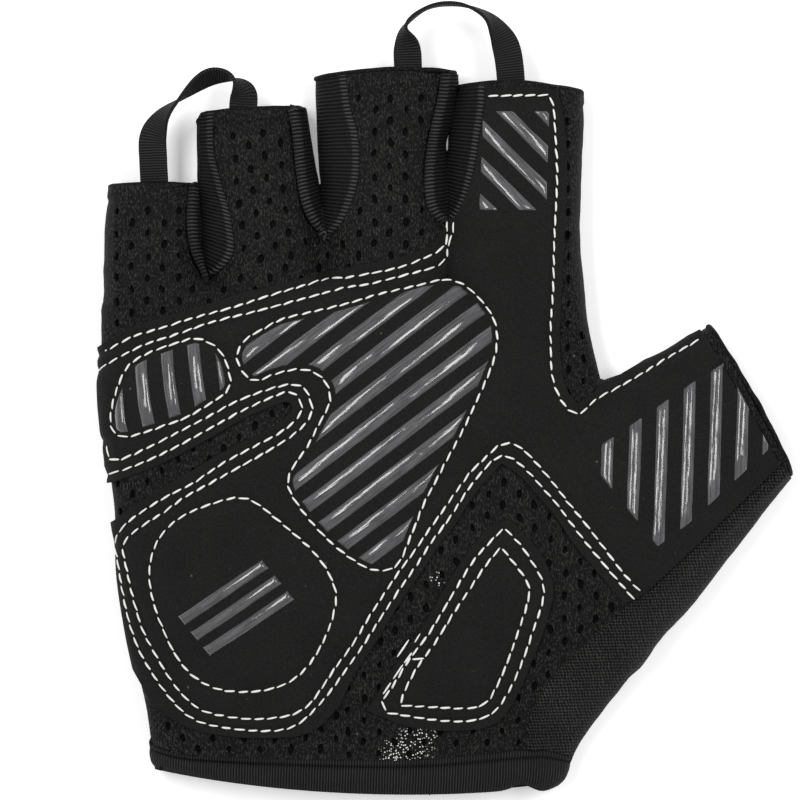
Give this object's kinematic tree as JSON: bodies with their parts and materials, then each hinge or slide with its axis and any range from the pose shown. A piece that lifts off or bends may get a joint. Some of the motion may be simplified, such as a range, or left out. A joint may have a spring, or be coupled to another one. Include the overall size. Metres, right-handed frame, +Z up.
{
  "type": "cycling glove",
  "caption": "Half-finger cycling glove lying palm up, with padded suede palm, silicone grip bars, mesh cloth, elastic cuff and pull loops on the fingertips.",
  "frame": {"origin": "on the flat back of the glove where it rests, under the middle of the glove", "axes": "+Y from the wrist towards the fingertips, +X towards the thumb, +Z up out of the palm"},
  "size_m": [0.1396, 0.1583, 0.0267],
  "materials": {
    "mesh": "perforated sports mesh",
    "knit": "stretch knit",
    "tape": "ribbed woven tape",
    "suede": "synthetic suede",
    "silicone": "glossy silicone print"
  },
  "bodies": {
    "root": {"palm_mesh": "mesh", "back_panel": "knit", "gusset_little_ring": "tape", "gusset_ring_middle": "tape", "gusset_middle_index": "tape", "thumb_wipe_panel": "knit", "cuff_binding": "tape", "palm_overlay": "suede", "thenar_patch": "suede", "gel_pad_outer": "suede", "gel_pad_centre": "suede", "gel_pad_heel": "suede", "pull_loop_left": "tape", "pull_loop_right": "tape", "outer_grip_1": "silicone", "outer_grip_2": "silicone", "outer_grip_3": "silicone", "outer_grip_4": "silicone", "outer_grip_5": "silicone", "centre_grip_1": "silicone", "centre_grip_2": "silicone", "centre_grip_3": "silicone", "centre_grip_4": "silicone", "centre_grip_5": "silicone", "centre_grip_6": "silicone", "centre_grip_7": "silicone", "centre_grip_8": "silicone", "centre_grip_9": "silicone", "centre_grip_10": "silicone", "heel_grip_1": "silicone", "heel_grip_2": "silicone", "heel_grip_3": "silicone", "index_grip_1": "silicone", "index_grip_2": "silicone", "index_grip_3": "silicone", "index_grip_4": "silicone", "index_grip_5": "silicone", "thumb_grip_1": "silicone", "thumb_grip_2": "silicone", "thumb_grip_3": "silicone", "thumb_grip_4": "silicone", "thumb_grip_5": "silicone", "thumb_grip_6": "silicone", "thumb_grip_7": "silicone"}
  },
  "joints": []
}
